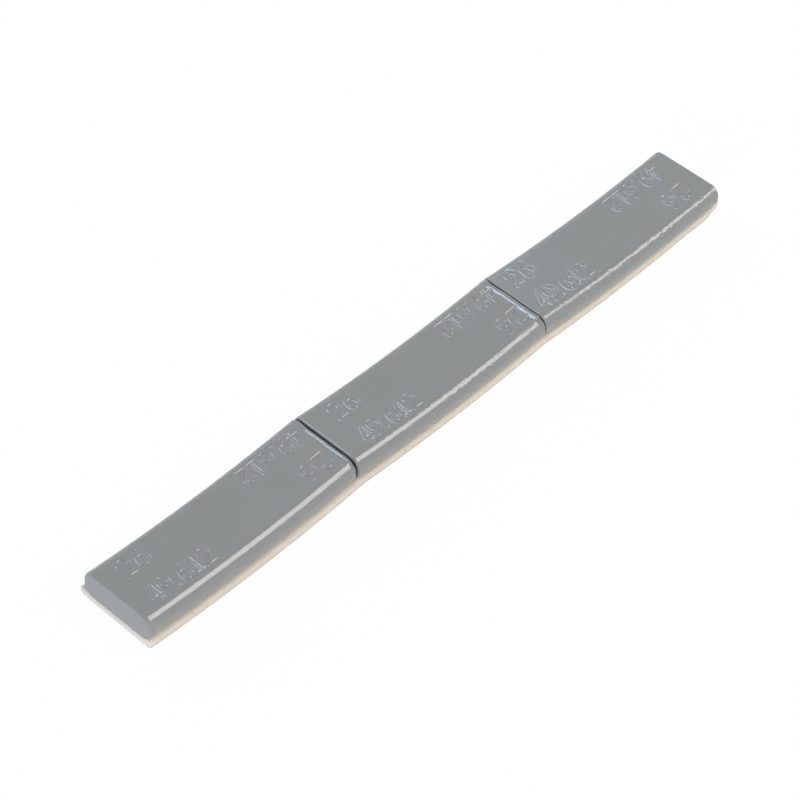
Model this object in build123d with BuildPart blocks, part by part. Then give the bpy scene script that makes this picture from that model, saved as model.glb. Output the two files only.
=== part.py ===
import os
from math import cos, degrees, radians, sin, sqrt

from build123d import *

os.makedirs("parts", exist_ok=True)

# Steel segments: a flat bar with well rounded long edges, bent to the inside of a rim barrel
bar_width = 19.05
bar_thickness = 6.25
segment_length = 56.75
top_edge_radius = 2.5
bottom_edge_radius = 2.9
end_edge_chamfer = 0.25
seat_radius = 338.0

# How the three segments lie: gaps at the underside, each one's rock on its own belly in degrees,
# and how far their row is off the middle of the tape
front_gap = 0.44
rear_gap = 0.40
front_tilt = -0.32
middle_tilt = -0.42
rear_tilt = 0.41
row_offset = -0.20

# Adhesive tape below them: a foam core and the liner that is peeled off, laid slightly askew
foam_thickness = 1.10
liner_thickness = 0.17
side_overhang = 0.025
near_overhang = 0.37
far_overhang = 0.25
tape_corner_radius = 0.70
tape_skew = 0.32
joint_bend_radius = 20.0

# Radii of the layers about each segment's own bending axis, which is level with the other two
foam_radius = seat_radius + foam_thickness
liner_radius = foam_radius + liner_thickness
axis_height = liner_radius
half_length = segment_length / 2
end_drop = sqrt(seat_radius**2 - half_length**2)


def chord(tilt):
    # Length along the strip that a rocked segment takes up
    return segment_length * cos(radians(tilt))


def foot_reach(tilt, side):
    # Distance along the strip from a segment's bending axis to the foot of one of its end faces
    return side * chord(tilt) / 2 + end_drop * sin(radians(tilt))


# Places along the strip, from the near end of the tape to its far end
steel_length = chord(front_tilt) + front_gap + chord(middle_tilt) + rear_gap + chord(rear_tilt)
tape_length = near_overhang + steel_length + far_overhang
tape_width = bar_width + 2 * side_overhang
front_axis = near_overhang - tape_length / 2 - foot_reach(front_tilt, -1)
front_end = front_axis + foot_reach(front_tilt, 1)
middle_axis = front_end + front_gap - foot_reach(middle_tilt, -1)
middle_end = middle_axis + foot_reach(middle_tilt, 1)
rear_axis = middle_end + rear_gap - foot_reach(rear_tilt, -1)

# The foam steps in the middle of each gap, and bends where the bellies of two neighbours would cross
front_step = front_end + front_gap / 2
rear_step = middle_end + rear_gap / 2
front_bend = (front_axis + middle_axis) / 2
rear_bend = (middle_axis + rear_axis) / 2
blank_end = (tape_length + tape_width) / 2


def belly_point(axis, radius, x):
    # Point on a layer's arc below a bending axis
    return (x, axis_height - sqrt(radius**2 - (x - axis) ** 2))


def belly_arc(axis, radius, x_from, x_to):
    # Arc of a layer between two places along the strip
    start = belly_point(axis, radius, x_from)
    middle = belly_point(axis, radius, (x_from + x_to) / 2)
    end = belly_point(axis, radius, x_to)
    ThreePointArc(start, middle, end)


def belly_step(x, axis_from, radius_from, axis_to, radius_to):
    # Upright line at one place along the strip, from one layer's arc to another
    Line(belly_point(axis_from, radius_from, x), belly_point(axis_to, radius_to, x))


# One bent bar about its bending axis: a rounded section swung round, cut square to its chord,
# with the sharp rim of each cut end broken
swing_angle = degrees(1.25 * segment_length / seat_radius)
with BuildPart() as bent_bar:
    with BuildSketch(Plane.YZ.rotated((0, -swing_angle / 2, 0))) as bar_section:
        with Locations((0, bar_thickness / 2 - seat_radius)):
            Rectangle(bar_width, bar_thickness)
        fillet(bar_section.vertices().group_by(Axis.Y)[-1], radius=top_edge_radius)
        fillet(bar_section.vertices().group_by(Axis.Y)[0], radius=bottom_edge_radius)
    revolve(axis=Axis.Y, revolution_arc=swing_angle)
    split(bisect_by=Plane.YZ.offset(half_length), keep=Keep.BOTTOM)
    split(bisect_by=Plane.YZ.offset(-half_length), keep=Keep.TOP)
    end_faces = bent_bar.faces().sort_by(Axis.X)
    chamfer(end_faces[0].edges() + end_faces[-1].edges(), length=end_edge_chamfer)

# Front segment, at the near end of the strip
with BuildPart() as front_segment:
    with Locations(Location((front_axis, row_offset, axis_height), (0, -front_tilt, 0))):
        add(bent_bar.part)
front_segment.part.label = "front_segment"
export_step(front_segment.part, "parts/front_segment.step")

# Middle segment
with BuildPart() as middle_segment:
    with Locations(Location((middle_axis, row_offset, axis_height), (0, -middle_tilt, 0))):
        add(bent_bar.part)
middle_segment.part.label = "middle_segment"
export_step(middle_segment.part, "parts/middle_segment.step")

# Rear segment, at the far end
with BuildPart() as rear_segment:
    with Locations(Location((rear_axis, row_offset, axis_height), (0, -rear_tilt, 0))):
        add(bent_bar.part)
rear_segment.part.label = "rear_segment"
export_step(rear_segment.part, "parts/rear_segment.step")

# Foam tape: its upper side follows the three bellies, and its ends and sides are cut askew
with BuildPart() as foam_tape:
    with BuildSketch(Plane.XZ) as foam_side:
        with BuildLine():
            belly_arc(front_axis, foam_radius, -blank_end, front_bend)
            belly_arc(middle_axis, foam_radius, front_bend, rear_bend)
            belly_arc(rear_axis, foam_radius, rear_bend, blank_end)
            belly_step(blank_end, rear_axis, foam_radius, rear_axis, seat_radius)
            belly_arc(rear_axis, seat_radius, blank_end, rear_step)
            belly_step(rear_step, rear_axis, seat_radius, middle_axis, seat_radius)
            belly_arc(middle_axis, seat_radius, rear_step, front_step)
            belly_step(front_step, middle_axis, seat_radius, front_axis, seat_radius)
            belly_arc(front_axis, seat_radius, front_step, -blank_end)
            belly_step(-blank_end, front_axis, seat_radius, front_axis, foam_radius)
        make_face()
        for bend_point in (
            belly_point(middle_axis, foam_radius, front_bend),
            belly_point(middle_axis, foam_radius, rear_bend),
        ):
            fillet(foam_side.vertices().sort_by_distance(bend_point)[0], radius=joint_bend_radius)
    extrude(amount=tape_width, both=True)
    with BuildSketch() as foam_outline:
        RectangleRounded(tape_length, tape_width, tape_corner_radius, rotation=tape_skew)
    extrude(amount=axis_height, mode=Mode.INTERSECT)
foam_tape.part.label = "foam_tape"
export_step(foam_tape.part, "parts/foam_tape.step")

# Release liner: the thin sheet on the underside of the foam, cut to the same outline
with BuildPart() as release_liner:
    with BuildSketch(Plane.XZ) as liner_side:
        with BuildLine():
            belly_arc(front_axis, liner_radius, -blank_end, front_bend)
            belly_arc(middle_axis, liner_radius, front_bend, rear_bend)
            belly_arc(rear_axis, liner_radius, rear_bend, blank_end)
            belly_step(blank_end, rear_axis, liner_radius, rear_axis, foam_radius)
            belly_arc(rear_axis, foam_radius, blank_end, rear_bend)
            belly_arc(middle_axis, foam_radius, rear_bend, front_bend)
            belly_arc(front_axis, foam_radius, front_bend, -blank_end)
            belly_step(-blank_end, front_axis, foam_radius, front_axis, liner_radius)
        make_face()
        for layer_radius, bend_radius in (
            (foam_radius, joint_bend_radius),
            (liner_radius, joint_bend_radius - liner_thickness),
        ):
            for bend_place in (front_bend, rear_bend):
                bend_point = belly_point(middle_axis, layer_radius, bend_place)
                fillet(liner_side.vertices().sort_by_distance(bend_point)[0], radius=bend_radius)
    extrude(amount=tape_width, both=True)
    with BuildSketch() as liner_outline:
        RectangleRounded(tape_length, tape_width, tape_corner_radius, rotation=tape_skew)
    extrude(amount=axis_height, mode=Mode.INTERSECT)
release_liner.part.label = "release_liner"
export_step(release_liner.part, "parts/release_liner.step")
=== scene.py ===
import math
import bpy
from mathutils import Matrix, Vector, kdtree, noise


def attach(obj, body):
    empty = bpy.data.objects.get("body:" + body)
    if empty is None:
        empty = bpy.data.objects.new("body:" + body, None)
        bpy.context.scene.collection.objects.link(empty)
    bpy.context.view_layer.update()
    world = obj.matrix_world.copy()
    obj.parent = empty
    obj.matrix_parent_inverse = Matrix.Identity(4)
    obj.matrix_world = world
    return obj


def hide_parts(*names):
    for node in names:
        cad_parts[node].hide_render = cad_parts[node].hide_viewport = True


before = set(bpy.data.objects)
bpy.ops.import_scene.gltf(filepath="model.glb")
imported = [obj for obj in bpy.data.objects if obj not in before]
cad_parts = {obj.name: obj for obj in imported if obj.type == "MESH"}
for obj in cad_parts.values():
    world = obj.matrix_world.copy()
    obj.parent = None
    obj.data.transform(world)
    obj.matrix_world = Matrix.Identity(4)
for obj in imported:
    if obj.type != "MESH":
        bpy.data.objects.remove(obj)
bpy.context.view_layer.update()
print("frame loaded, nodes:", ", ".join(sorted(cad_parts)))

mm = 0.001      # every size below is in millimetres
hair = 0.001    # places nearer than this count as one
smoothAngle = math.radians(40)      # edges sharper than this stay sharp in the shading


def hexToLinear(code):      # sRGB hex to the linear colour that the sockets take
    values = []
    for start in (0, 2, 4):
        part = int(code[start:start + 2], 16) / 255
        values.append(part / 12.92 if part <= 0.04045 else ((part + 0.055) / 1.055) ** 2.4)
    return (*values, 1.0)


def addNode(tree, kind, settings=None, inputs=None):
    # one node with its settings, and its sockets set to a value or linked from another socket;
    # a Mix node has its two colours at 6 and 7 and the mixed one at 2
    node = tree.nodes.new(kind)
    for name, value in (settings or {}).items():
        setattr(node, name, value)
    for name, value in (inputs or {}).items():
        if isinstance(value, bpy.types.NodeSocket):
            tree.links.new(value, node.inputs[name])
        else:
            node.inputs[name].default_value = value
    return node


def newMaterial(name):
    material = bpy.data.materials.new(name)
    material.use_nodes = True
    material.node_tree.nodes.clear()
    return material, material.node_tree


def startFresh():       # nothing selected, object mode
    if bpy.context.mode != "OBJECT":
        bpy.ops.object.mode_set(mode="OBJECT")
    bpy.ops.object.select_all(action="DESELECT")


def makeActive(piece):
    startFresh()
    piece.select_set(True)
    bpy.context.view_layer.objects.active = piece


def pickEdges(piece, test):     # edit mode with only the edges that pass the test selected
    bpy.ops.object.mode_set(mode="EDIT")
    bpy.ops.mesh.select_mode(type="EDGE")
    bpy.ops.mesh.select_all(action="DESELECT")
    bpy.ops.object.mode_set(mode="OBJECT")
    points = [point.co / mm for point in piece.data.vertices]
    for edge in piece.data.edges:
        edge.select = test(points[edge.vertices[0]], points[edge.vertices[1]])
    bpy.ops.object.mode_set(mode="EDIT")


def pickFaces(piece, test):     # edit mode with only the faces that pass the test selected
    bpy.ops.object.mode_set(mode="EDIT")
    bpy.ops.mesh.select_mode(type="FACE")
    bpy.ops.mesh.select_all(action="DESELECT")
    bpy.ops.object.mode_set(mode="OBJECT")
    for face in piece.data.polygons:
        face.select = test(face.center / mm)
    bpy.ops.object.mode_set(mode="EDIT")


def sawAcross(piece, places):       # a line of new edges round the piece at each place along it
    makeActive(piece)
    for place in places:
        bpy.ops.object.mode_set(mode="EDIT")
        bpy.ops.mesh.select_all(action="SELECT")
        bpy.ops.mesh.bisect(plane_co=(place * mm, 0, 0), plane_no=(1, 0, 0))
    bpy.ops.object.mode_set(mode="OBJECT")


def cutAlong(piece, low, high, cell):       # cells of about this length, between two places along the piece
    mostAtOnce, secondRound = 90, 15        # the operator makes at most 100 cuts at once
    count = max(round((high - low) / cell), 1)
    rounds = [count]
    if count > mostAtOnce:
        rounds = [math.ceil(count / secondRound), secondRound]
    for cells in rounds:
        pickEdges(piece, lambda a, b: abs(a.y - b.y) < hair and abs(a.z - b.z) < hair
                  and low < (a.x + b.x) / 2 < high)
        if cells > 1:
            bpy.ops.mesh.subdivide(number_cuts=cells - 1)
    bpy.ops.object.mode_set(mode="OBJECT")


def applyAll(piece):        # every modifier on the piece, in order
    makeActive(piece)
    for modifier in list(piece.modifiers):
        bpy.ops.object.modifier_apply(modifier=modifier.name)


def closeMesh(piece):       # doubles merged, faces turned outwards
    makeActive(piece)
    bpy.ops.object.mode_set(mode="EDIT")
    bpy.ops.mesh.select_all(action="SELECT")
    bpy.ops.mesh.remove_doubles(threshold=0.01 * hair * mm)
    bpy.ops.mesh.normals_make_consistent(inside=False)
    bpy.ops.object.mode_set(mode="OBJECT")


def clamp(value, low, high):
    return max(low, min(high, value))


def smooth(share):      # 0 to 1 with a soft start and end
    share = clamp(share, 0.0, 1.0)
    return share * share * (3 - 2 * share)


# Strip: the lie of the three bars and of the tape below them, as in the solids
strip = {
    "seatRadius": 338.0,        # underside of the bars
    "foamThickness": 1.10,
    "linerThickness": 0.17,
    "nearOverhang": 0.37,       # tape past the steel at the two ends
    "farOverhang": 0.25,
    "rowOffset": -0.20,         # bars off the middle of the tape
    "jointBend": 20.0,          # bend of the tape below a gap
    # tilt and yaw in degrees, gap after the bar at its underside, shift of its stamps along it
    "bars": {
        "front": {"tilt": -0.32, "yaw": 0.414, "gapAfter": 0.44, "stampShift": 1.46},
        "middle": {"tilt": -0.42, "yaw": 0.188, "gapAfter": 0.40, "stampShift": 2.3},
        "rear": {"tilt": 0.41, "yaw": -0.327, "gapAfter": 0.0, "stampShift": -0.8},
    },
}

# Bars: sheared steel flat bar with rounded long edges
barShape = {
    "length": 56.75,
    "width": 19.05,
    "thickness": 6.25,
    "topRadius": 2.5,
    "bottomRadius": 2.9,
    "rimRadius": 0.12,
    "topSegments": 22,          # faces round each of these edges
    "bottomSegments": 10,
    "rimSegments": 4,
    "rimInsets": (0.25, 0.25),  # two rings of coat that wrap round the rim of an end face
    # end faces in the gaps that are painted dark as shade: inside both rings, or inside the outer one
    "gapShadeEnds": {
        ("front", "far"): "insideBoth",
        ("middle", "near"): "insideBoth",
        ("middle", "far"): "insideOuter",
        ("rear", "near"): "insideOuter",
    },
    "endCorners": 30,           # the face inside both rings has more corners than this, any other fewer
    "stampZone": (2.6, 23.2),   # from each end, where the stamps go
    "endCell": 0.14,            # sizes of the grid's cells
    "stampCell": 0.224,
    "strokeCuts": 3,            # that the cells along the strokes get on top
    "plainCell": 0.35,
    "underCells": 12,
}

# Ends as shearing and the coat leave them: the top set over along the strip, and a stretch of the
# surface that falls towards the rim, with its start and stop from the rim, its slope, the length over
# which the slope sets in and stops, the share of it on the flat top, and waves in its start along the
# edge, as pairs of a height and a length
endShape = {
    "front": {
        "near": {"lean": 0.25, "start": 1.0, "stop": -0.3, "slope": 0.22, "ease": 0.2,
                 "flatShare": 0.35, "waves": ()},
        "far": {"lean": 0.20, "start": 1.14, "stop": 0.20, "slope": 0.34, "ease": 0.30,
                "flatShare": 1.0, "waves": ((0.06, 7.0), (0.03, 2.9))},
    },
    "middle": {
        "near": {"lean": 0.22, "start": 0.44, "stop": -0.3, "slope": 0.6, "ease": 0.3,
                 "flatShare": 1.0, "waves": ()},
        "far": {"lean": 0.10, "start": 1.72, "stop": 0.54, "slope": 0.34, "ease": 0.32,
                "flatShare": 1.0, "waves": ((0.22, 13.5), (0.08, 3.1))},
    },
    "rear": {
        "near": {"lean": 0.04, "start": 0.36, "stop": -0.3, "slope": 0.8, "ease": 0.3,
                 "flatShare": 1.0, "waves": ()},
        "far": {"lean": 0.06, "start": 0.8, "stop": -0.3, "slope": 0.03, "ease": 0.5,
                "flatShare": 0.3, "waves": ()},
    },
    "leanReach": 3.0,
    "turned": 0.35,             # how far aside the surface faces where it is taken for the sides
    "sideStop": -0.3,           # past the rim
    "sideLess": 0.5,            # taken off the share where the surface faces right aside
    "sideLessFrom": 0.7,
    "belowShare": 0.15,         # on the lower half, where the burr is
    # across the strip, where the fall of the far ends starts to fade on the left and where it is gone
    "fadeLeft": {"front": (4.0, 7.5), "middle": (5.8, 8.2), "rear": (5.0, 8.0)},
    "leftRoll": {"front": 0.50, "middle": 0.25, "rear": 0.65},      # left side drawn in at the near ends
    "leftRollFrom": (0.1, 0.7),     # how far left the surface faces where it is not and where it is
    "leftAhead": {"front": 0.20, "middle": 0.0, "rear": 0.0},       # left of the near ends cut askew
}

# Coat along the long top edges: height and length of its ripple, how full its shoulder is and how
# far it wanders, and the places of its nicks
edgeCoat = {
    "front": {"height": 0.008, "length": 0.8, "shoulder": 0.0, "wander": 0.0,
              "nicks": (-16.2, -12.6, -11.4, -5.4)},
    "middle": {"height": 0.012, "length": 0.7, "shoulder": 0.014, "wander": 2.0, "nicks": (-9.5, 3.1, 14.2)},
    "rear": {"height": 0.028, "length": 0.6, "shoulder": 0.070, "wander": 5.0, "nicks": ()},
    "shoulderAt": 33.0,         # degrees from the flat top, as are its wandering and its width
    "wanderLength": 1.6,
    "wanderRow": 3.7,           # any row of the noise
    "shoulderWide": 13.0,
    "nickDepth": 0.034,
    "nickWide": 0.22,
    "fullFrom": 12.0,           # degrees from the flat top where the ripple is full, fades and is gone
    "fadeFrom": 59.0,
    "goneAt": 84.0,
    "fineShare": 0.5,           # finer ripple on top
    "fineTimes": 2.3,
    "leftShare": 0.15,          # the left edges are smoother
}

seatLevel = strip["seatRadius"] + strip["foamThickness"] + strip["linerThickness"]      # of the bending axes
halfBar = barShape["length"] / 2


def chord(lie):     # length along the strip that a rocked bar takes up
    return barShape["length"] * math.cos(math.radians(lie["tilt"]))


def footReach(lie, side):       # from a bar's bending axis to the foot of one of its end faces
    endDrop = math.sqrt(strip["seatRadius"] ** 2 - halfBar ** 2)
    return side * chord(lie) / 2 + endDrop * math.sin(math.radians(lie["tilt"]))


tapeLength = strip["nearOverhang"] + strip["farOverhang"]
tapeLength += sum(chord(lie) + lie["gapAfter"] for lie in strip["bars"].values())
foot = strip["nearOverhang"] - tapeLength / 2
for lie in strip["bars"].values():
    lie["axis"] = foot - footReach(lie, -1)
    lie["farFoot"] = lie["axis"] + footReach(lie, 1)
    foot = lie["farFoot"] + lie["gapAfter"]


def straightBar():
    shape = barShape
    flat = shape["width"] / 2 - shape["topRadius"]
    middle = shape["thickness"] / 2
    startFresh()
    bpy.ops.mesh.primitive_cube_add(size=mm, location=(0, 0, 0))
    bar = bpy.context.object
    bar.data.materials.append(greyCoat())
    # the second material is the dark painted shade for the end faces in the gaps
    bar.data.materials.append(gapShadeSteel())
    bpy.ops.object.mode_set(mode="EDIT")
    bpy.ops.mesh.select_all(action="SELECT")
    bpy.ops.transform.resize(value=(shape["length"], shape["width"], shape["thickness"]))
    bpy.ops.transform.translate(value=(0, 0, middle * mm))

    # long edges rounded, top and bottom apart
    for edge, top in (("top", True), ("bottom", False)):
        pickEdges(bar, lambda a, b: abs(a.x - b.x) > halfBar and (a.z > middle) == top
                  and abs(a.z - middle) > middle - hair and abs(a.y) > flat)
        bpy.ops.mesh.bevel(offset=shape[edge + "Radius"] * mm, segments=shape[edge + "Segments"],
                           profile=0.5, affect="EDGES", clamp_overlap=False)
    # rims of the two sheared ends
    pickEdges(bar, lambda a, b: abs(a.x) > halfBar - hair and abs(a.x - b.x) < hair)
    bpy.ops.mesh.bevel(offset=shape["rimRadius"] * mm, segments=shape["rimSegments"], profile=0.5,
                       affect="EDGES", clamp_overlap=False)
    pickFaces(bar, lambda place: abs(place.x) > halfBar - hair)
    bpy.ops.mesh.inset(thickness=shape["rimInsets"][0] * mm, depth=0)
    bpy.ops.object.mode_set(mode="OBJECT")
    for face in bar.data.polygons:      # what is inside the outer ring is marked by the second material
        face.material_index = 1 if face.select else 0
    bpy.ops.object.mode_set(mode="EDIT")
    bpy.ops.mesh.inset(thickness=shape["rimInsets"][1] * mm, depth=0)
    bpy.ops.object.mode_set(mode="OBJECT")

    # grid along the bar, fine where the stamps go, then across its top and underside
    rim = halfBar - shape["rimRadius"]
    outer, inner = halfBar - shape["stampZone"][0], halfBar - shape["stampZone"][1]
    sawAcross(bar, (-outer, -inner, inner, outer))
    for low, high, cell in ((inner, outer, "stampCell"), (outer, rim, "endCell")):
        cutAlong(bar, low, high, shape[cell])
        cutAlong(bar, -high, -low, shape[cell])
    cutAlong(bar, -inner, inner, shape["plainCell"])
    topCells = math.ceil(2 * flat / shape["stampCell"])
    for cells, top in ((topCells, True), (shape["underCells"], False)):
        pickEdges(bar, lambda a, b: abs(a.y - b.y) > flat and abs(a.z - b.z) < hair
                  and (a.z > middle) == top)
        bpy.ops.mesh.subdivide(number_cuts=cells - 1)
    bpy.ops.object.mode_set(mode="OBJECT")
    closeMesh(bar)
    return bar


# Stamps: plain numbers in single strokes, the same pair at both ends, turned half round
stampShape = {
    "start": -24.65,            # near end of the pair, from the middle of the set
    "pair": (
        {"digits": "49.612", "indent": 0.0, "foot": -6.65, "height": 4.2, "wide": 2.25, "step": 2.95},
        {"digits": "26", "indent": 0.2, "foot": 1.85, "height": 4.4, "wide": 2.5, "step": 3.9},
    ),
    "dotStep": 1.75,            # room that the point takes up
    # from the middle of a stroke to the top and to the foot of its soft shoulder and of its wall,
    # and their depths
    "shoulder": {"outer": 0.60, "inner": 0.36, "depth": 0.03},
    "wall": {"outer": 0.42, "inner": 0.14, "depth": 0.15},
    # coat pooled round the near pair of one bar, so it stands up there
    "pool": {"outer": 1.30, "inner": 0.50, "depth": -0.034},
    "pooledBar": "rear",
    "arcStep": 15,              # degrees between points on a round stroke
    "fineReach": 0.56,          # from the middle of a stroke, how far the cells are made finer
    "fineStep": 0.15,           # between the points of a stroke that this is measured from
    "fineDrop": 0.01,           # below the level of the top, the lowest of these cells
    "topMargin": 0.3,           # how far into the roundings the top may be pressed
}

# strokes of the digits in a unit box: a point, or an arc as centre, half axes, first and last angle
digitStrokes = {
    "1": (((0.16, 0.74), (0.55, 1.0), (0.55, 0.0)), ((0.12, 0.0), (0.96, 0.0))),
    "2": (((0.5, 0.71, 0.48, 0.29, 165, -38), (0.02, 0.0), (1.0, 0.0)),),
    "4": (((1.0, 0.27), (0.0, 0.27), (0.70, 1.0), (0.70, 0.0)),),
    "6": (((0.5, 0.31, 0.5, 0.31, 90, 450),), ((0.92, 0.31, 0.92, 0.69, 180, 100),)),
    "9": (((0.5, 0.69, 0.5, 0.31, 90, 450),), ((0.08, 0.69, 0.92, 0.69, 0, -80),)),
    ".": (((0.10, 0.02), (0.14, 0.02)),),
}


def strokePoints(stroke):       # points along one stroke, in the unit box
    points = []
    for piece in stroke:
        if len(piece) == 2:
            points.append(piece)
            continue
        x, y, wide, high, first, last = piece
        steps = round(abs(last - first) / stampShape["arcStep"])
        for step in range(steps + 1):
            angle = math.radians(first + (last - first) * step / steps)
            points.append((x + wide * math.cos(angle), y + high * math.sin(angle)))
    return points


def drawStroke(points):     # a line of edges, extruded from one vertex through the points
    bpy.ops.mesh.primitive_plane_add(size=mm, location=(0, 0, 0))
    bpy.ops.mesh.merge(type="CENTER")
    place = Vector((0, 0, 0))
    for index, point in enumerate(points):
        move = Vector(point) * mm - place
        if index == 0:
            bpy.ops.transform.translate(value=move)
        else:
            bpy.ops.mesh.extrude_region_move(TRANSFORM_OT_translate={"value": move})
        place += move


def stampSet():     # middle lines of the strokes, at the level of a straight bar's top
    startFresh()
    bpy.ops.mesh.primitive_plane_add(size=mm, location=(0, 0, 0))
    stamps = bpy.context.object
    stamps.name = "stampStrokes"
    bpy.ops.object.mode_set(mode="EDIT")
    bpy.ops.mesh.delete(type="VERT")
    bpy.ops.mesh.select_mode(type="VERT")
    for mark in stampShape["pair"]:
        start = stampShape["start"] + mark["indent"]
        for digit in mark["digits"]:
            for stroke in digitStrokes[digit]:
                drawStroke([(start + x * mark["wide"], mark["foot"] + y * mark["height"],
                             barShape["thickness"]) for x, y in strokePoints(stroke)])
            start += stampShape["dotStep"] if digit == "." else mark["step"]
    bpy.ops.mesh.select_all(action="SELECT")
    bpy.ops.mesh.duplicate()
    bpy.ops.transform.rotate(value=math.pi, orient_axis="Z", center_override=(0, 0, 0))
    bpy.ops.object.mode_set(mode="OBJECT")
    return stamps


def refineStrokes(bar, stamps):     # finer cells along the strokes, so that their walls come out clean
    ends = [stamps.matrix_world @ point.co for point in stamps.data.vertices]
    places = []
    for edge in stamps.data.edges:
        first, last = (ends[index] for index in edge.vertices)
        steps = max(round((last - first).length / (stampShape["fineStep"] * mm)), 1)
        places += [first.lerp(last, step / steps) for step in range(steps + 1)]
    tree = kdtree.KDTree(len(places))
    for index, place in enumerate(places):
        tree.insert(place, index)
    tree.balance()
    level = barShape["thickness"] - stampShape["fineDrop"]
    reach = stampShape["fineReach"] * mm
    makeActive(bar)
    pickFaces(bar, lambda place: place.z > level and tree.find(place * mm)[2] < reach)
    bpy.ops.mesh.subdivide(number_cuts=barShape["strokeCuts"])
    bpy.ops.object.mode_set(mode="OBJECT")


def pressIn(bar, stamps, name, outer, inner, depth, until=halfBar):     # top pressed down near the strokes
    aside = barShape["width"] / 2 - barShape["topRadius"] + stampShape["topMargin"]
    level = barShape["thickness"] - stampShape["topMargin"]
    group = bar.vertex_groups.new(name=name)
    for point in bar.data.vertices:
        x, y, z = point.co / mm
        if z > level and abs(y) < aside and x < until:
            group.add([point.index], 1.0, "REPLACE")
    near = bar.modifiers.new(name + "Near", "VERTEX_WEIGHT_PROXIMITY")
    near.vertex_group = name
    near.target = stamps
    near.proximity_mode = "GEOMETRY"
    near.proximity_geometry = {"EDGE"}
    near.min_dist = outer * mm
    near.max_dist = inner * mm
    near.falloff_type = "SMOOTH"
    press = bar.modifiers.new(name + "Press", "DISPLACE")
    press.vertex_group = name
    press.direction = "Z"
    press.mid_level = 0.0
    press.strength = -depth * mm


def outward(y, z):      # way out of the bar's section at a point near its outline, or None in its core
    shape = barShape
    coreSide = shape["width"] / 2 - shape["topRadius"]
    out = Vector((0, y - clamp(y, -coreSide, coreSide),
                  z - clamp(z, shape["bottomRadius"], shape["thickness"] - shape["topRadius"])))
    return out.normalized() if out.length > hair else None


def rippleEdges(bar, name):     # uneven coat on the two long top edges
    coat = edgeCoat[name]
    goneAt, fadeFrom = edgeCoat["goneAt"], edgeCoat["fadeFrom"]
    for point in bar.data.vertices:
        x, y, z = point.co / mm
        out = outward(y, z)
        turn = math.degrees(math.atan2(abs(out.y), out.z)) if out else 0        # 90 on the side
        if not 0 < turn < goneAt:
            continue
        ease = smooth(turn / edgeCoat["fullFrom"]) * smooth((goneAt - turn) / (goneAt - fadeFrom))
        place = Vector((x, y, z)) / coat["length"]
        ripple = noise.noise(place) + edgeCoat["fineShare"] * noise.noise(place * edgeCoat["fineTimes"])
        lift = coat["height"] * ease * ripple
        if y > 0:
            point.co += out * edgeCoat["leftShare"] * lift * mm
            continue
        wander = noise.noise(Vector((x / edgeCoat["wanderLength"], edgeCoat["wanderRow"], 0)))
        at = edgeCoat["shoulderAt"] + coat["wander"] * wander
        lift += coat["shoulder"] * math.exp(-((turn - at) / edgeCoat["shoulderWide"]) ** 2)
        for nick in coat["nicks"]:
            lift -= edgeCoat["nickDepth"] * ease * math.exp(-((x - nick) / edgeCoat["nickWide"]) ** 2)
        point.co += out * lift * mm


def fallAt(inside, length, slope, ease):        # fall at a place in a stretch whose slope sets in and stops
    setIn = min(inside, ease)
    steady = clamp(inside - ease, 0, length - 2 * ease)
    stop = clamp(inside + ease - length, 0, ease)
    return slope * (setIn ** 2 / (2 * ease) + steady + stop - stop ** 2 / (2 * ease))


def rollEnds(bar, name):        # both ends leaned over, and their rims rolled off
    shape = endShape
    for point in bar.data.vertices:
        x, y, z = point.co / mm
        end = shape[name]["far" if x > 0 else "near"]
        fromEnd = halfBar - abs(x)
        out = outward(y, z)
        start = end["start"]
        for height, length in end["waves"]:
            start -= height * math.sin(2 * math.pi * y / length + length)
        if out and fromEnd < start:
            turned = smooth(abs(out.y) / shape["turned"])
            share = shape["belowShare"]
            if out.z >= 0:
                aside = (abs(out.y) - shape["sideLessFrom"]) / (1 - shape["sideLessFrom"])
                share = end["flatShare"] + (1 - end["flatShare"]) * turned - shape["sideLess"] * smooth(aside)
            if x > 0:
                whole, gone = shape["fadeLeft"][name]
                share *= smooth((gone - y) / (gone - whole))
            stop = end["stop"] + (shape["sideStop"] - end["stop"]) * turned
            fall = fallAt(start - fromEnd, start - stop, end["slope"], end["ease"])
            point.co -= out * share * fall * mm
        roll = shape["leftRoll"][name]
        if out and x < 0 and fromEnd < roll:
            drawn = roll - math.sqrt(roll ** 2 - (roll - fromEnd) ** 2)
            least, most = shape["leftRollFrom"]
            point.co -= out * smooth((out.y - least) / (most - least)) * drawn * mm
        if fromEnd < shape["leanReach"]:
            shift = end["lean"] * z / barShape["thickness"]
            if x < 0:
                shift -= shape["leftAhead"][name] * smooth(y / barShape["width"] + 0.5)
            point.co.x += shift * (1 - fromEnd / shape["leanReach"]) * mm


def bendBar(bar, lie):      # bent to the rim's curve with its ends still upright, then set in place
    for point in bar.data.vertices:
        reach = strip["seatRadius"] * mm - point.co.z
        point.co.z = -math.sqrt(reach ** 2 - point.co.x ** 2)
    bar.location = Vector((lie["axis"], strip["rowOffset"], seatLevel)) * mm
    bar.rotation_euler = (0, math.radians(-lie["tilt"]), math.radians(lie["yaw"]))
    makeActive(bar)
    bpy.ops.object.transform_apply(location=True, rotation=True, scale=True)


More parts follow.
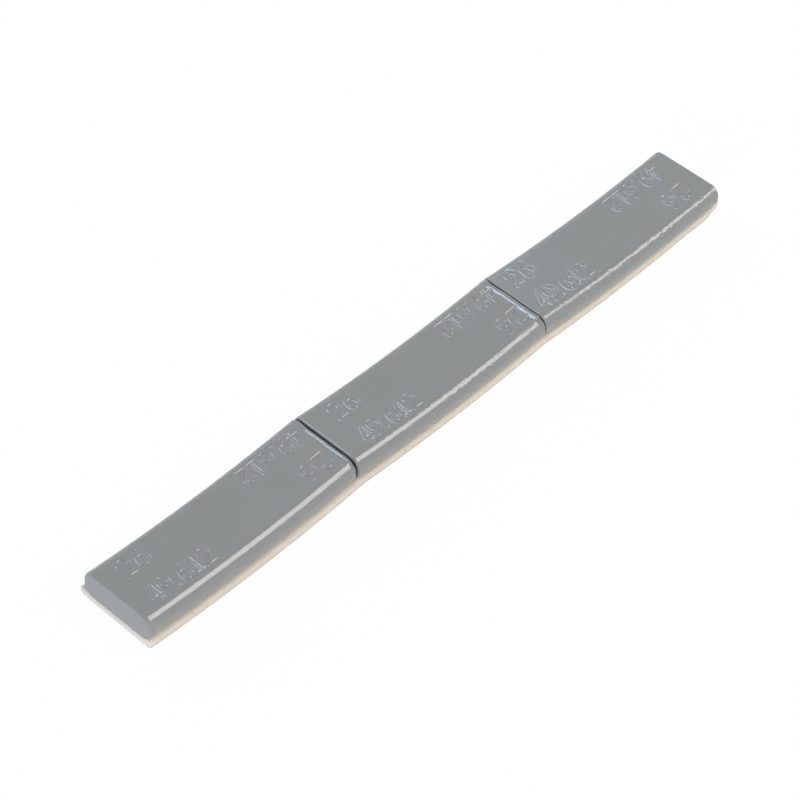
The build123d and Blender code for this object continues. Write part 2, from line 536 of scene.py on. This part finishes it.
# Grey coat: paint that steel bars are dipped in, semi-gloss, so the long roundings carry a clear bright line
coatLook = {
    "grey": "878B8F",
    "greyLight": "8B8F94",
    "cloudSize": 9.0,           # mm between darker and lighter parts
    "speck": "66696B",
    "speckCell": 4.4,           # about one speck in a cube of this size
    "speckRadius": 0.10,
    "roughLow": 0.11,
    "roughHigh": 0.16,
    "peelSize": 0.9,            # mm between the waves of the wet coat
    "peelHeight": 0.004,
    "grainSize": 0.28,          # drawn coarser than the real grain, so that it shows
    "grainHeight": 0.0008,
    "edgeFrom": -6.6,           # across the strip, where the lumpy coat on the right edges starts and is full
    "edgeFull": -7.6,
    "edgeSmooth": -60.0,        # along the strip, where that coat is smooth and where it is roughest
    "edgeRough": 35.0,
    "edgeSize": 0.36,           # mm between its lumps
    "edgeHeight": 0.062,
    "ior": 1.5,
}


def greyCoat():
    look = coatLook
    material, tree = newMaterial("greyDippedPaintOnSteel")
    place = addNode(tree, "ShaderNodeTexCoord").outputs["Object"]
    cloud = addNode(tree, "ShaderNodeTexNoise", inputs={
        "Vector": place, "Scale": 1 / (look["cloudSize"] * mm), "Detail": 4.0})
    tone = addNode(tree, "ShaderNodeMix", {"data_type": "RGBA"}, {
        "Factor": cloud.outputs["Fac"], 6: hexToLinear(look["grey"]), 7: hexToLinear(look["greyLight"])})
    cells = addNode(tree, "ShaderNodeTexVoronoi", inputs={
        "Vector": place, "Scale": 1 / (look["speckCell"] * mm), "Randomness": 1.0})
    speck = addNode(tree, "ShaderNodeMath", {"operation": "LESS_THAN"}, {
        0: cells.outputs["Distance"], 1: look["speckRadius"] / look["speckCell"]})
    colour = addNode(tree, "ShaderNodeMix", {"data_type": "RGBA"}, {
        "Factor": speck.outputs[0], 6: tone.outputs[2], 7: hexToLinear(look["speck"])})
    peel = addNode(tree, "ShaderNodeTexNoise", inputs={
        "Vector": place, "Scale": 1 / (look["peelSize"] * mm), "Detail": 2.0})
    grain = addNode(tree, "ShaderNodeTexNoise", inputs={
        "Vector": place, "Scale": 1 / (look["grainSize"] * mm), "Detail": 1.0})
    axes = addNode(tree, "ShaderNodeSeparateXYZ", inputs={"Vector": place})
    atEdge = addNode(tree, "ShaderNodeMapRange", inputs={
        "Value": axes.outputs["Y"], "From Min": look["edgeFrom"] * mm, "From Max": look["edgeFull"] * mm})
    thick = addNode(tree, "ShaderNodeMapRange", inputs={
        "Value": axes.outputs["X"], "From Min": look["edgeSmooth"] * mm, "From Max": look["edgeRough"] * mm,
        "To Max": look["edgeHeight"] * mm})
    rough = addNode(tree, "ShaderNodeMath", {"operation": "MULTIPLY"}, {
        0: atEdge.outputs["Result"], 1: thick.outputs["Result"]})
    lumps = addNode(tree, "ShaderNodeTexNoise", inputs={
        "Vector": place, "Scale": 1 / (look["edgeSize"] * mm), "Detail": 0.0})
    sheen = addNode(tree, "ShaderNodeMapRange", inputs={
        "Value": peel.outputs["Fac"], "To Min": look["roughLow"], "To Max": look["roughHigh"]})
    wave = addNode(tree, "ShaderNodeBump", inputs={
        "Strength": 1.0, "Distance": look["peelHeight"] * mm, "Height": peel.outputs["Fac"]})
    grit = addNode(tree, "ShaderNodeBump", inputs={
        "Strength": 1.0, "Distance": look["grainHeight"] * mm, "Height": grain.outputs["Fac"],
        "Normal": wave.outputs["Normal"]})
    edge = addNode(tree, "ShaderNodeBump", inputs={
        "Strength": 1.0, "Distance": rough.outputs[0], "Height": lumps.outputs["Fac"],
        "Normal": grit.outputs["Normal"]})
    shader = addNode(tree, "ShaderNodeBsdfPrincipled", inputs={
        "Base Color": colour.outputs[2], "Roughness": sheen.outputs["Result"], "IOR": look["ior"],
        "Normal": edge.outputs["Normal"]})
    addNode(tree, "ShaderNodeOutputMaterial", inputs={"Surface": shader.outputs["BSDF"]})
    return material


# Painted shade in the gaps: end faces there drawn dull and dark, oxide-coloured, so that the gaps read black
gapShadeLook = {
    "shadeDark": "3C3B3A",
    "shadeLighter": "4A4846",
    "streakSize": 0.35,
    "streakLength": 6.0,        # times as long up and down, the way that the shear went
    "streakHeight": 0.01,
    "roughness": 0.55,
    "ior": 1.5,
}


def gapShadeSteel():
    look = gapShadeLook
    material, tree = newMaterial("darkGapShadeSteel")
    place = addNode(tree, "ShaderNodeTexCoord").outputs["Object"]
    stretched = addNode(tree, "ShaderNodeMapping", inputs={
        "Vector": place, "Scale": (1, 1, 1 / look["streakLength"])})
    streaks = addNode(tree, "ShaderNodeTexNoise", inputs={
        "Vector": stretched.outputs["Vector"], "Scale": 1 / (look["streakSize"] * mm), "Detail": 3.0})
    tone = addNode(tree, "ShaderNodeMix", {"data_type": "RGBA"}, {
        "Factor": streaks.outputs["Fac"], 6: hexToLinear(look["shadeDark"]), 7: hexToLinear(look["shadeLighter"])})
    ridges = addNode(tree, "ShaderNodeBump", inputs={
        "Strength": 1.0, "Distance": look["streakHeight"] * mm, "Height": streaks.outputs["Fac"]})
    shader = addNode(tree, "ShaderNodeBsdfPrincipled", inputs={
        "Base Color": tone.outputs[2], "Roughness": look["roughness"], "IOR": look["ior"],
        "Normal": ridges.outputs["Normal"]})
    addNode(tree, "ShaderNodeOutputMaterial", inputs={"Surface": shader.outputs["BSDF"]})
    return material


stamps = stampSet()
plainBar = straightBar()
bars = {}
for name, lie in strip["bars"].items():
    bar = plainBar.copy()
    bar.data = plainBar.data.copy()
    bar.name = name + "Bar"
    bpy.context.collection.objects.link(bar)
    stamps.location.x = lie["stampShift"] * mm
    bpy.context.view_layer.update()
    refineStrokes(bar, stamps)
    for step in ("shoulder", "wall"):
        pressIn(bar, stamps, step, **stampShape[step])
        applyAll(bar)
    if name == stampShape["pooledBar"]:
        pressIn(bar, stamps, "pool", **stampShape["pool"], until=0)
        applyAll(bar)
    for face in bar.data.polygons:      # coat everywhere but on the part of the end faces in the gaps that is painted dark as shade
        gapShade = barShape["gapShadeEnds"].get((name, "near" if face.center.x < 0 else "far"))
        insideBoth = len(face.vertices) > barShape["endCorners"]
        if not (gapShade == "insideOuter" or gapShade == "insideBoth" and insideBoth):
            face.material_index = 0
    rippleEdges(bar, name)
    rollEnds(bar, name)
    bendBar(bar, lie)
    makeActive(bar)
    bpy.ops.object.shade_smooth_by_angle(angle=smoothAngle)
    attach(bar, "root")
    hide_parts(name + "_segment")
    bars[name] = bar
startFresh()
plainBar.select_set(True)
stamps.select_set(True)
bpy.ops.object.delete()
print("bars:", {name: len(bar.data.polygons) for name, bar in bars.items()})


# Tape: white foam with a paper liner below it, cut to one outline and laid slightly askew
tapeShape = {
    "width": 19.10,
    "corner": 0.70,
    "cornerSegments": 6,
    "skew": 0.32,
    "cell": 0.55,
    "acrossCells": 72,
    "clear": 0.02,              # below what lies on it
    "topRound": 0.80,           # foam's upper rim, rounded by handling
    "roundSegments": 5,
    "fill": 0.10,               # foam squeezed up into the wedge below the bars' long edges
    "fillAt": 8.0,
    "fillWide": 0.8,
    "foamRows": 4,
    "stepHalf": 0.06,           # half the length that the upright step in a gap is drawn over
    "curlFrom": 6.4,            # margins that bend up round the bars, from this far off the middle
    "curlEnd": 9.07,            # where they are up by the whole lift, and how much more they may be
    "curlMost": 1.1,
    # at the near left and far right corners: how far along the strip, how far up and how far outwards
    # at the underside and at the top, and how far out along the strip
    "curls": (
        {"end": -1, "side": 1, "length": 14.0, "lift": (1.18, 1.18), "out": (0.75, 1.18), "push": 0.42},
        {"end": 1, "side": -1, "length": 11.0, "lift": (0.15, 0.45), "out": (0.45, 0.35), "push": 0.0},
        {"end": 1, "side": -1, "length": 4.5, "lift": (1.5, 1.6), "out": (0.10, 0.30), "push": 0.45},
    ),
}


def bellyHeight(x, radius, axis):
    return seatLevel - math.sqrt(radius ** 2 - (x - axis) ** 2)


def seatHeight(x):      # top of the foam: below each bar its own belly, with a step in the gaps
    lies = list(strip["bars"].values())
    height = bellyHeight(x, strip["seatRadius"], lies[0]["axis"])
    for before, after in zip(lies, lies[1:]):
        middle = before["farFoot"] + before["gapAfter"] / 2
        share = smooth((x - middle) / (2 * tapeShape["stepHalf"]) + 0.5)
        height += share * (bellyHeight(x, strip["seatRadius"], after["axis"]) - height)
    return height


def sheetHeight(x, radius):     # lower layers: the lowest belly, with the bends at the gaps rounded
    lies = strip["bars"].values()
    lowest, second = sorted(bellyHeight(x, radius, lie["axis"]) for lie in lies)[:2]
    turn = barShape["length"] / radius
    soft = strip["jointBend"] * turn ** 2 / 2
    blend = max(soft - (second - lowest), 0) / soft
    return lowest - blend ** 2 * soft / 4


def tapeLayer(name, thickness, topAt, bottomAt, rows):
    shape = tapeShape
    startFresh()
    bpy.ops.mesh.primitive_cube_add(size=mm, location=(0, 0, 0))
    piece = bpy.context.object
    piece.name = name
    bpy.ops.object.mode_set(mode="EDIT")
    bpy.ops.mesh.select_all(action="SELECT")
    bpy.ops.transform.resize(value=(tapeLength, shape["width"], thickness))
    bpy.ops.transform.translate(value=(0, 0, -thickness / 2 * mm))
    pickEdges(piece, lambda a, b: abs(a.z - b.z) > thickness / 2)
    bpy.ops.mesh.bevel(offset=shape["corner"] * mm, segments=shape["cornerSegments"], profile=0.5,
                       affect="EDGES", clamp_overlap=False)
    if rows > 1:
        pickEdges(piece, lambda a, b: min(a.z, b.z) > -hair)
        bpy.ops.mesh.bevel(offset=shape["topRound"] * mm, segments=shape["roundSegments"], profile=0.5,
                           affect="EDGES", clamp_overlap=False)
    bpy.ops.object.mode_set(mode="OBJECT")
    lies = list(strip["bars"].values())
    places = []
    for lie in lies[:-1]:
        middle = lie["farFoot"] + lie["gapAfter"] / 2
        places += [middle - shape["stepHalf"], middle + shape["stepHalf"]]
    sawAcross(piece, places)
    ends = [shape["corner"] - tapeLength / 2, *places, tapeLength / 2 - shape["corner"]]
    for low, high in zip(ends, ends[1:]):
        cutAlong(piece, low, high, shape["cell"])
    pickEdges(piece, lambda a, b: abs(a.y - b.y) > shape["width"] / 2)
    bpy.ops.mesh.subdivide(number_cuts=shape["acrossCells"] - 1)
    if rows > 1:
        pickEdges(piece, lambda a, b: abs(a.z - b.z) > thickness / 2)
        bpy.ops.mesh.subdivide(number_cuts=rows - 1)
    bpy.ops.object.mode_set(mode="OBJECT")

    turn = math.radians(shape["skew"])
    for point in piece.data.vertices:
        x, y, down = point.co / mm
        depth = -down / thickness
        ahead = x * math.cos(turn) - y * math.sin(turn)
        aside = x * math.sin(turn) + y * math.cos(turn)
        height = (topAt(ahead) - shape["clear"]) * (1 - depth) + bottomAt(ahead) * depth
        if rows > 1:
            squeeze = shape["fill"] * math.exp(-((abs(aside) - shape["fillAt"]) / shape["fillWide"]) ** 2)
            height += squeeze * (1 - depth)
        level = clamp((height - sheetHeight(ahead, seatLevel)) / seatThickness, 0, 1)
        for curl in shape["curls"]:
            over = aside * curl["side"] - shape["curlFrom"]
            margin = clamp(over / (shape["curlEnd"] - shape["curlFrom"]), 0, shape["curlMost"])
            share = margin ** 2 * smooth(1 - (tapeLength / 2 - ahead * curl["end"]) / curl["length"])
            aside += share * curl["side"] * (curl["out"][0] + level * (curl["out"][1] - curl["out"][0]))
            ahead += share * curl["end"] * curl["push"]
            height += share * (curl["lift"][0] + level * (curl["lift"][1] - curl["lift"][0]))
        point.co = Vector((ahead, aside, height)) * mm
    closeMesh(piece)
    bpy.ops.object.shade_smooth_by_angle(angle=smoothAngle)
    return piece


# Foam: white closed-cell foam with tacky cut sides, cream with darker patches, whiter and more neutral at the
# near end
foamLook = {
    "cream": "DCD6D0",
    "creamDark": "D4CAC2",
    "nearEndWhite": "DFDCD9",
    "whiterNearEnd": (-85.4, -84.3), # near end of the tape, along the strip
    "stainSize": 3.0,
    "speck": "B09A8C",
    "speckCell": 2.6,
    "speckRadius": 0.17,
    "poreSize": 0.24,           # drawn coarser than real pores, so that they show
    "poreDepth": 0.005,
    "poreStrength": 0.6,
    "roughness": 0.85,
    "ior": 1.45,
}


def whiteFoam():
    look = foamLook
    material, tree = newMaterial("whiteClosedCellFoam")
    place = addNode(tree, "ShaderNodeTexCoord").outputs["Object"]
    stain = addNode(tree, "ShaderNodeTexNoise", inputs={
        "Vector": place, "Scale": 1 / (look["stainSize"] * mm), "Detail": 5.0})
    cream = addNode(tree, "ShaderNodeMix", {"data_type": "RGBA"}, {
        "Factor": stain.outputs["Fac"], 6: hexToLinear(look["cream"]), 7: hexToLinear(look["creamDark"])})
    axes = addNode(tree, "ShaderNodeSeparateXYZ", inputs={"Vector": place})
    awayFromNearEnd = addNode(tree, "ShaderNodeMapRange", inputs={
        "Value": axes.outputs["X"], "From Min": look["whiterNearEnd"][0] * mm,
        "From Max": look["whiterNearEnd"][1] * mm})
    tone = addNode(tree, "ShaderNodeMix", {"data_type": "RGBA"}, {
        "Factor": awayFromNearEnd.outputs["Result"], 6: hexToLinear(look["nearEndWhite"]), 7: cream.outputs[2]})
    cells = addNode(tree, "ShaderNodeTexVoronoi", inputs={
        "Vector": place, "Scale": 1 / (look["speckCell"] * mm), "Randomness": 1.0})
    speck = addNode(tree, "ShaderNodeMath", {"operation": "LESS_THAN"}, {
        0: cells.outputs["Distance"], 1: look["speckRadius"] / look["speckCell"]})
    colour = addNode(tree, "ShaderNodeMix", {"data_type": "RGBA"}, {
        "Factor": speck.outputs[0], 6: tone.outputs[2], 7: hexToLinear(look["speck"])})
    pores = addNode(tree, "ShaderNodeTexVoronoi", inputs={
        "Vector": place, "Scale": 1 / (look["poreSize"] * mm), "Randomness": 1.0})
    pits = addNode(tree, "ShaderNodeBump", inputs={
        "Strength": look["poreStrength"], "Distance": look["poreDepth"] * mm,
        "Height": pores.outputs["Distance"]})
    shader = addNode(tree, "ShaderNodeBsdfPrincipled", inputs={
        "Base Color": colour.outputs[2], "Roughness": look["roughness"], "IOR": look["ior"],
        "Normal": pits.outputs["Normal"]})
    addNode(tree, "ShaderNodeOutputMaterial", inputs={"Surface": shader.outputs["BSDF"]})
    return material


# Liner: silicone coated paper, smooth and pale on its faces and at its near end, darker reddish tan on its
# other cut edges
linerLook = {
    "face": "E8E4DE",
    "faceDark": "DFDAD2",
    "edge": "C49F8C",
    "edgeDark": "AD8572",
    "fibreSize": 0.5,
    "fibreHeight": 0.004,
    "fibreStrength": 0.5,
    "roughness": 0.6,
    "ior": 1.45,
    "uprightTo": 0.5,           # a face that faces up or down less than this is part of the cut edge
    "nearEndTo": -0.7,          # and one that faces along the strip less than this is its pale near end
}


def linerPaper(name, light, dark):
    look = linerLook
    material, tree = newMaterial(name)
    place = addNode(tree, "ShaderNodeTexCoord").outputs["Object"]
    fibre = addNode(tree, "ShaderNodeTexNoise", inputs={
        "Vector": place, "Scale": 1 / (look["fibreSize"] * mm), "Detail": 6.0, "Distortion": 1.5})
    tone = addNode(tree, "ShaderNodeMix", {"data_type": "RGBA"}, {
        "Factor": fibre.outputs["Fac"], 6: hexToLinear(light), 7: hexToLinear(dark)})
    fuzz = addNode(tree, "ShaderNodeBump", inputs={
        "Strength": look["fibreStrength"], "Distance": look["fibreHeight"] * mm,
        "Height": fibre.outputs["Fac"]})
    shader = addNode(tree, "ShaderNodeBsdfPrincipled", inputs={
        "Base Color": tone.outputs[2], "Roughness": look["roughness"], "IOR": look["ior"],
        "Normal": fuzz.outputs["Normal"]})
    addNode(tree, "ShaderNodeOutputMaterial", inputs={"Surface": shader.outputs["BSDF"]})
    return material


seatThickness = strip["foamThickness"] + strip["linerThickness"]
foamRadius = strip["seatRadius"] + strip["foamThickness"]
foam = tapeLayer("foamTape", strip["foamThickness"], seatHeight, lambda x: sheetHeight(x, foamRadius),
                 tapeShape["foamRows"])
foam.data.materials.append(whiteFoam())
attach(foam, "root")
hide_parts("foam_tape")
liner = tapeLayer("paperLiner", strip["linerThickness"], lambda x: sheetHeight(x, foamRadius),
                  lambda x: sheetHeight(x, seatLevel), 1)
liner.data.materials.append(linerPaper("siliconePaperLiner", linerLook["face"], linerLook["faceDark"]))
liner.data.materials.append(linerPaper("darkerPaperEdge", linerLook["edge"], linerLook["edgeDark"]))
for face in liner.data.polygons:
    upright = abs(face.normal.z) < linerLook["uprightTo"]
    face.material_index = 1 if upright and face.normal.x > linerLook["nearEndTo"] else 0
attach(liner, "root")
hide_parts("release_liner")
print("tape:", len(foam.data.polygons), "foam faces,", len(liner.data.polygons), "liner faces")


# Studio: white floor and room, a big soft key on the right, soft fills, and cards that only the gloss shows:
# one on the right, a cool one behind and one in front
studio = {
    "floorSize": 4000,
    "floorDrop": 0.02,          # below the tape
    "floorColour": "F4F4F4",
    "whiteShare": 0.97,         # share of the floor that the camera sees as plain white
    "worldLevel": 0.20,
    "lamps": {
        "cardRight": {"place": (610, -539, 721), "target": (610, 0, 0), "size": (780, 700), "radiance": 7.6,
                      "colour": "FFFCF6", "lights": False, "shows": True},
        "cardBehind": {"place": (800, 480, 340), "target": (0, 0, 340), "size": (380, 580), "radiance": 7.0,
                       "colour": "ACCEF9", "lights": False, "shows": True},
        "cardFront": {"place": (-450, 470, 760), "target": (0, 0, 0), "size": (450, 450), "radiance": 5.0,
                      "colour": "FFFFFF", "lights": False, "shows": True},
        "keyRight": {"place": (300, -539, 721), "target": (0, 0, 0), "size": (860, 700), "radiance": 2.98,
                     "colour": "FFFDEF", "lights": True, "shows": False},
        "fillRight": {"place": (0, -900, 250), "target": (0, 0, 0), "size": (900, 400), "radiance": 1.0,
                      "colour": "FFE9D6", "lights": True, "shows": False},
        "fillFront": {"place": (-900, -250, 200), "target": (0, 0, 0), "size": (700, 330), "radiance": 6.15,
                      "colour": "F9FAFF", "lights": True, "shows": False},
        "fillLeft": {"place": (0, 900, 400), "target": (0, 0, 0), "size": (900, 500), "radiance": 4.47,
                     "colour": "FFFFFF", "lights": True, "shows": False},
    },
}

camera = {
    "target": (-6.7345, -0.5594, 4.0),
    "azimuth": 43.9252,
    "elevation": 47.3814,
    "roll": 0.4211,
    "distance": 558.205,
    "lens": 120.336,
    "sensor": 36,
    "clipStart": 10,
}


def aim(thing, place, target):
    direction = (Vector(target) - Vector(place)).normalized()
    thing.location = Vector(place)
    thing.rotation_euler = direction.to_track_quat("-Z", "Y").to_euler()


def whiteToTheEye(tree):        # 1 for rays that show the background as white: camera, mirror and glass rays
    rays = addNode(tree, "ShaderNodeLightPath").outputs
    seen = addNode(tree, "ShaderNodeMath", {"operation": "MAXIMUM"}, {
        0: rays["Is Camera Ray"], 1: rays["Is Glossy Ray"]})
    return addNode(tree, "ShaderNodeMath", {"operation": "MAXIMUM"}, {
        0: seen.outputs[0], 1: rays["Is Transmission Ray"]}).outputs[0]


def buildFloor():
    startFresh()
    bpy.ops.mesh.primitive_plane_add(size=studio["floorSize"] * mm,
                                     location=(0, 0, -studio["floorDrop"] * mm))
    floor = bpy.context.object
    floor.name = "studioFloor"
    material, tree = newMaterial("matteWhitePaperSweep")        # dull paper, so only a faint soft shadow shows
    share = addNode(tree, "ShaderNodeMath", {"operation": "MULTIPLY"}, {
        0: whiteToTheEye(tree), 1: studio["whiteShare"]})
    matte = addNode(tree, "ShaderNodeBsdfDiffuse", inputs={"Color": hexToLinear(studio["floorColour"])})
    white = addNode(tree, "ShaderNodeEmission", inputs={"Color": (1, 1, 1, 1), "Strength": 1.0})
    mix = addNode(tree, "ShaderNodeMixShader", inputs={
        "Fac": share.outputs[0], 1: matte.outputs[0], 2: white.outputs[0]})
    addNode(tree, "ShaderNodeOutputMaterial", inputs={"Surface": mix.outputs[0]})
    floor.data.materials.append(material)


def buildRoom():
    world = bpy.data.worlds.new("studioRoom")
    bpy.context.scene.world = world
    world.use_nodes = True
    tree = world.node_tree
    tree.nodes.clear()
    room = addNode(tree, "ShaderNodeBackground", inputs={
        "Color": (1, 1, 1, 1), "Strength": studio["worldLevel"]})
    white = addNode(tree, "ShaderNodeBackground", inputs={"Color": (1, 1, 1, 1), "Strength": 1.0})
    mix = addNode(tree, "ShaderNodeMixShader", inputs={
        "Fac": whiteToTheEye(tree), 1: room.outputs[0], 2: white.outputs[0]})
    addNode(tree, "ShaderNodeOutputWorld", inputs={"Surface": mix.outputs[0]})


def hangLamp(name, lamp):
    data = bpy.data.lights.new(name, "AREA")
    data.shape = "RECTANGLE"
    data.size, data.size_y = lamp["size"][0] * mm, lamp["size"][1] * mm
    data.color = hexToLinear(lamp["colour"])[:3]
    # radiance of an area lamp is its power over pi times its area
    data.energy = lamp["radiance"] * math.pi * data.size * data.size_y
    thing = bpy.data.objects.new(name, data)
    thing.visible_camera = False
    thing.visible_diffuse = lamp["lights"]
    thing.visible_glossy = lamp["shows"]
    bpy.context.collection.objects.link(thing)
    aim(thing, Vector(lamp["place"]) * mm, Vector(lamp["target"]) * mm)


def buildCamera():
    data = bpy.data.cameras.new("photoCamera")
    data.lens = camera["lens"]
    data.sensor_width = camera["sensor"]
    data.clip_start = camera["clipStart"] * mm
    thing = bpy.data.objects.new("photoCamera", data)
    bpy.context.collection.objects.link(thing)
    around, up = math.radians(camera["azimuth"]), math.radians(camera["elevation"])
    back = Vector((-math.cos(around) * math.cos(up), -math.sin(around) * math.cos(up), math.sin(up)))
    target = Vector(camera["target"]) * mm
    aim(thing, target + back * camera["distance"] * mm, target)
    thing.rotation_euler.rotate_axis("Z", math.radians(camera["roll"]))
    bpy.context.scene.camera = thing


buildFloor()
buildRoom()
for name, lamp in studio["lamps"].items():
    hangLamp(name, lamp)
buildCamera()
bpy.context.scene.view_settings.view_transform = "Standard"
print("studio and camera set")
